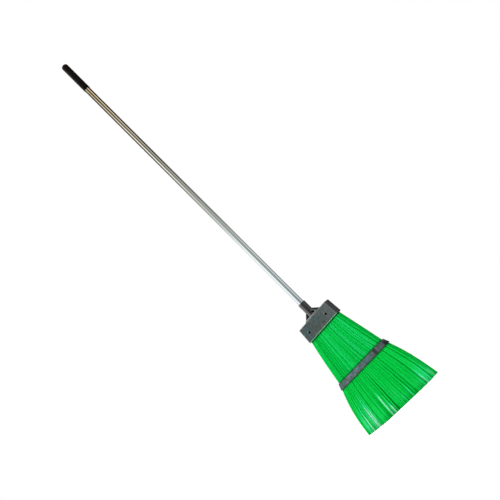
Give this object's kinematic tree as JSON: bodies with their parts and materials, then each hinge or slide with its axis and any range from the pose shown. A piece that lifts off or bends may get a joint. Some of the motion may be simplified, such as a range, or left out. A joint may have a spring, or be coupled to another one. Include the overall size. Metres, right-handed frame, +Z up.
{
  "type": "street broom",
  "caption": "Street broom: a flat fan of stiff plastic bristles, tied by a strap and clamped in a flat two-part head, on a long straight tube handle with a hand grip.",
  "frame": {"origin": "on the floor under the handle's axis, level with the longest bristle tips", "axes": "+Z up the handle, +X along the width of the head, and the front plate of the head faces -Y"},
  "size_m": [0.353, 0.034, 1.691],
  "materials": {
    "bristle_green": "satin",
    "head_grey": "moulded matt",
    "strap_grey": "moulded satin",
    "tube_aluminium": "drawn, bare",
    "grip_black": "satin",
    "screw_steel": "black oxide",
    "plug_black": "moulded matt"
  },
  "bodies": {
    "head": {"head_body": "head_grey", "front_plate": "head_grey", "clamp_screws": "screw_steel", "bristle_band": "strap_grey", "bristle_row_1": "bristle_green", "bristle_row_2": "bristle_green", "bristle_row_3": "bristle_green", "bristle_row_4": "bristle_green", "bristle_row_5": "bristle_green"},
    "handle": {"handle_tube": "tube_aluminium", "tube_plug": "plug_black", "hand_grip": "grip_black"}
  },
  "joints": [
    {"name": "handle_draw", "type": "slide", "parent": "head", "child": "handle", "axis": [0, 0, 1], "range_m": [0, 0.06]}
  ]
}
